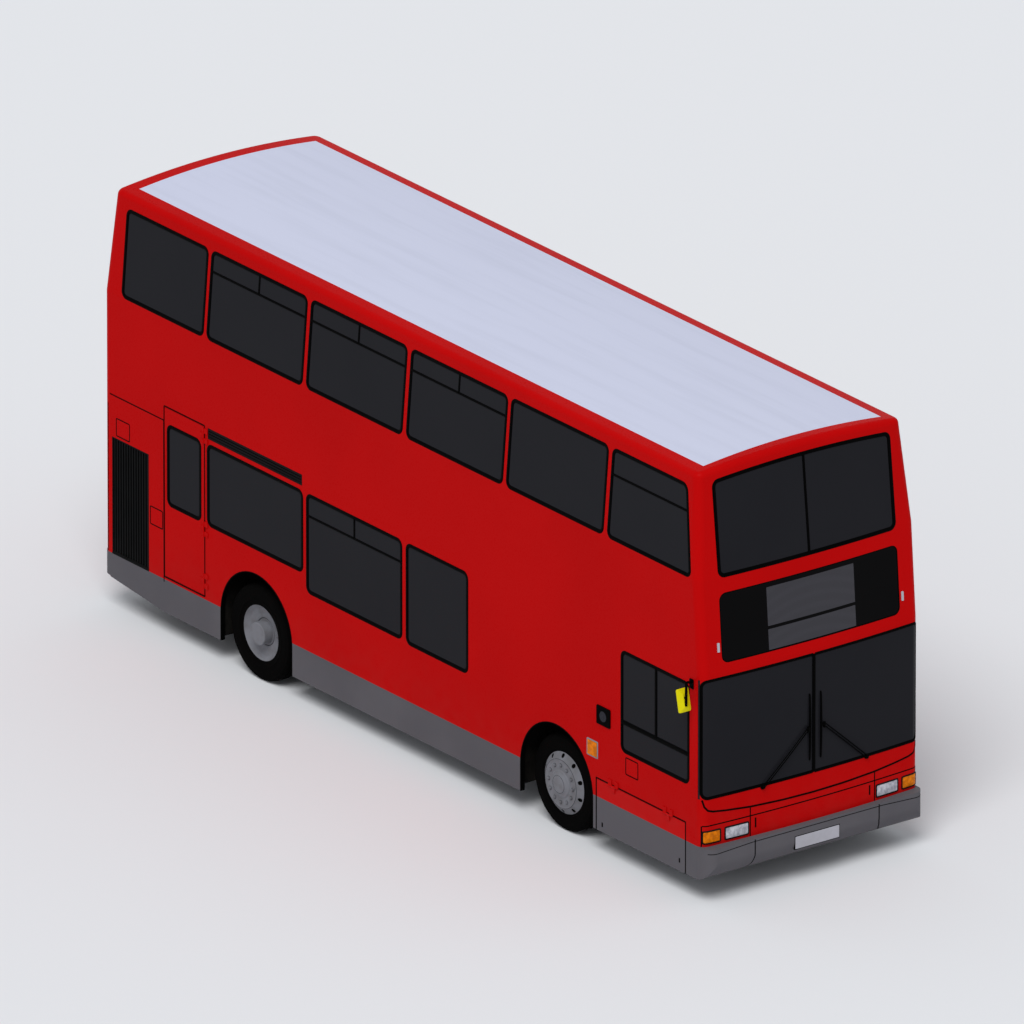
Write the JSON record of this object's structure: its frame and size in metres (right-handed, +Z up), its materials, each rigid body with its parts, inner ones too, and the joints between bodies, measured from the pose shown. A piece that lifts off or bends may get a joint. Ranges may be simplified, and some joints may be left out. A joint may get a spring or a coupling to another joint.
{
  "type": "double decker bus",
  "caption": "Double-deck low-floor bus with steered front wheels, twin rear wheels, passenger doors, emergency door and lifting engine cover.",
  "frame": {"origin": "on the ground, under the middle of the bus", "axes": "+X forward, +Y to the nearside (left), +Z up"},
  "size_m": [9.55, 2.924, 4.33],
  "materials": {
    "red_paint": "gloss",
    "roof_paint": "satin",
    "grey_paint": "satin",
    "frame_steel": "matte",
    "axle_iron": "rough",
    "engine_iron": "rough",
    "floor_covering": "matte",
    "galvanised": "satin",
    "seat_fabric": "woven",
    "pole_paint": "gloss",
    "cab_plastic": "matte",
    "black_plastic": "gloss",
    "black_rubber": "matte",
    "tinted_glass": "gloss",
    "lamp_plastic": "gloss",
    "mirror_yellow": "satin",
    "wheel_silver": "satin",
    "tyre_rubber": "matte"
  },
  "bodies": {
    "bus": {"chassis_frame": "frame_steel", "engine_block": "engine_iron", "axle_front_beam": "axle_iron", "axle_rear_housing": "axle_iron", "floor_lower": "floor_covering", "floor_upper": "floor_covering", "wheel_boxes": "galvanised", "staircase": "floor_covering", "seats": "seat_fabric", "grab_poles": "pole_paint", "driver_cab": "cab_plastic", "side_lower_offside": "red_paint", "side_lower_nearside": "red_paint", "side_upper_offside": "red_paint", "side_upper_nearside": "red_paint", "skirts": "grey_paint", "front_lower": "red_paint", "front_upper": "red_paint", "rear_panel": "red_paint", "roof_panel": "roof_paint", "bumpers": "grey_paint", "windscreen": "tinted_glass", "windows": "tinted_glass", "destination_sign": "black_plastic", "lamps": "lamp_plastic", "grilles": "black_plastic", "mirrors": "mirror_yellow", "wipers": "black_rubber"},
    "knuckle_left": {"knuckle_left": "axle_iron"},
    "knuckle_right": {"knuckle_right": "axle_iron"},
    "wheel_front_left": {"rim_front_left": "wheel_silver", "tyre_front_left": "tyre_rubber"},
    "wheel_front_right": {"rim_front_right": "wheel_silver", "tyre_front_right": "tyre_rubber"},
    "wheels_rear_left": {"rims_rear_left": "wheel_silver", "tyres_rear_left": "tyre_rubber"},
    "wheels_rear_right": {"rims_rear_right": "wheel_silver", "tyres_rear_right": "tyre_rubber"},
    "entrance_front": {"entrance_leaf_front": "red_paint", "entrance_glass_front": "tinted_glass"},
    "entrance_rear": {"entrance_leaf_rear": "red_paint", "entrance_glass_rear": "tinted_glass"},
    "exit_front": {"exit_leaf_front": "red_paint", "exit_glass_front": "tinted_glass"},
    "exit_rear": {"exit_leaf_rear": "red_paint", "exit_glass_rear": "tinted_glass"},
    "emergency_exit": {"emergency_door": "red_paint", "emergency_glass": "tinted_glass"},
    "engine_lid": {"engine_cover": "red_paint"},
    "flap": {"side_flap": "grey_paint"},
    "steering": {"steering_wheel": "black_plastic"}
  },
  "joints": [
    {"name": "steer_left", "type": "hinge", "parent": "bus", "child": "knuckle_left", "pos_m": [2.412, 0.96, 0.479], "axis": [0, 0, 1], "range_deg": [-40, 40]},
    {"name": "steer_right", "type": "hinge", "parent": "bus", "child": "knuckle_right", "pos_m": [2.412, -0.96, 0.479], "axis": [0, 0, 1], "range_deg": [-40, 40]},
    {"name": "spin_front_left", "type": "hinge", "parent": "knuckle_left", "child": "wheel_front_left", "pos_m": [2.412, 1.0625, 0.479], "axis": [0, 1, 0], "continuous": true},
    {"name": "spin_front_right", "type": "hinge", "parent": "knuckle_right", "child": "wheel_front_right", "pos_m": [2.412, -1.0625, 0.479], "axis": [0, 1, 0], "continuous": true},
    {"name": "spin_rear_left", "type": "hinge", "parent": "bus", "child": "wheels_rear_left", "pos_m": [-2.315, 1.1025, 0.479], "axis": [0, 1, 0], "continuous": true},
    {"name": "spin_rear_right", "type": "hinge", "parent": "bus", "child": "wheels_rear_right", "pos_m": [-2.315, -1.1025, 0.479], "axis": [0, 1, 0], "continuous": true},
    {"name": "entrance_front_swing", "type": "hinge", "parent": "bus", "child": "entrance_front", "pos_m": [4.425, 1.21, 1.3], "axis": [0, 0, 1], "range_deg": [0, 85]},
    {"name": "entrance_rear_swing", "type": "hinge", "parent": "bus", "child": "entrance_rear", "pos_m": [3.215, 1.21, 1.3], "axis": [0, 0, -1], "range_deg": [0, 85]},
    {"name": "exit_front_swing", "type": "hinge", "parent": "bus", "child": "exit_front", "pos_m": [1.25, 1.21, 1.3], "axis": [0, 0, 1], "range_deg": [0, 85]},
    {"name": "exit_rear_swing", "type": "hinge", "parent": "bus", "child": "exit_rear", "pos_m": [0.05, 1.21, 1.3], "axis": [0, 0, -1], "range_deg": [0, 85]},
    {"name": "emergency_swing", "type": "hinge", "parent": "bus", "child": "emergency_exit", "pos_m": [-3.137, -1.285, 1.47], "axis": [0, 0, 1], "range_deg": [0, 95]},
    {"name": "engine_lid_lift", "type": "hinge", "parent": "bus", "child": "engine_lid", "pos_m": [-4.755, 0, 1.856], "axis": [0, 1, 0], "range_deg": [0, 75]},
    {"name": "flap_lift", "type": "hinge", "parent": "bus", "child": "flap", "pos_m": [3.724, -1.285, 0.752], "axis": [-1, 0, 0], "range_deg": [0, 80]},
    {"name": "steering_turn", "type": "hinge", "parent": "bus", "child": "steering", "pos_m": [4.06, -0.8, 1.4], "axis": [-0.5, 0, 0.866], "range_deg": [-720, 720]}
  ],
  "couplings": [
    {"joint": "steer_right", "follows": "steer_left", "ratio": 1},
    {"joint": "steering_turn", "follows": "steer_left", "ratio": 18},
    {"joint": "entrance_rear_swing", "follows": "entrance_front_swing", "ratio": 1},
    {"joint": "exit_rear_swing", "follows": "exit_front_swing", "ratio": 1}
  ]
}
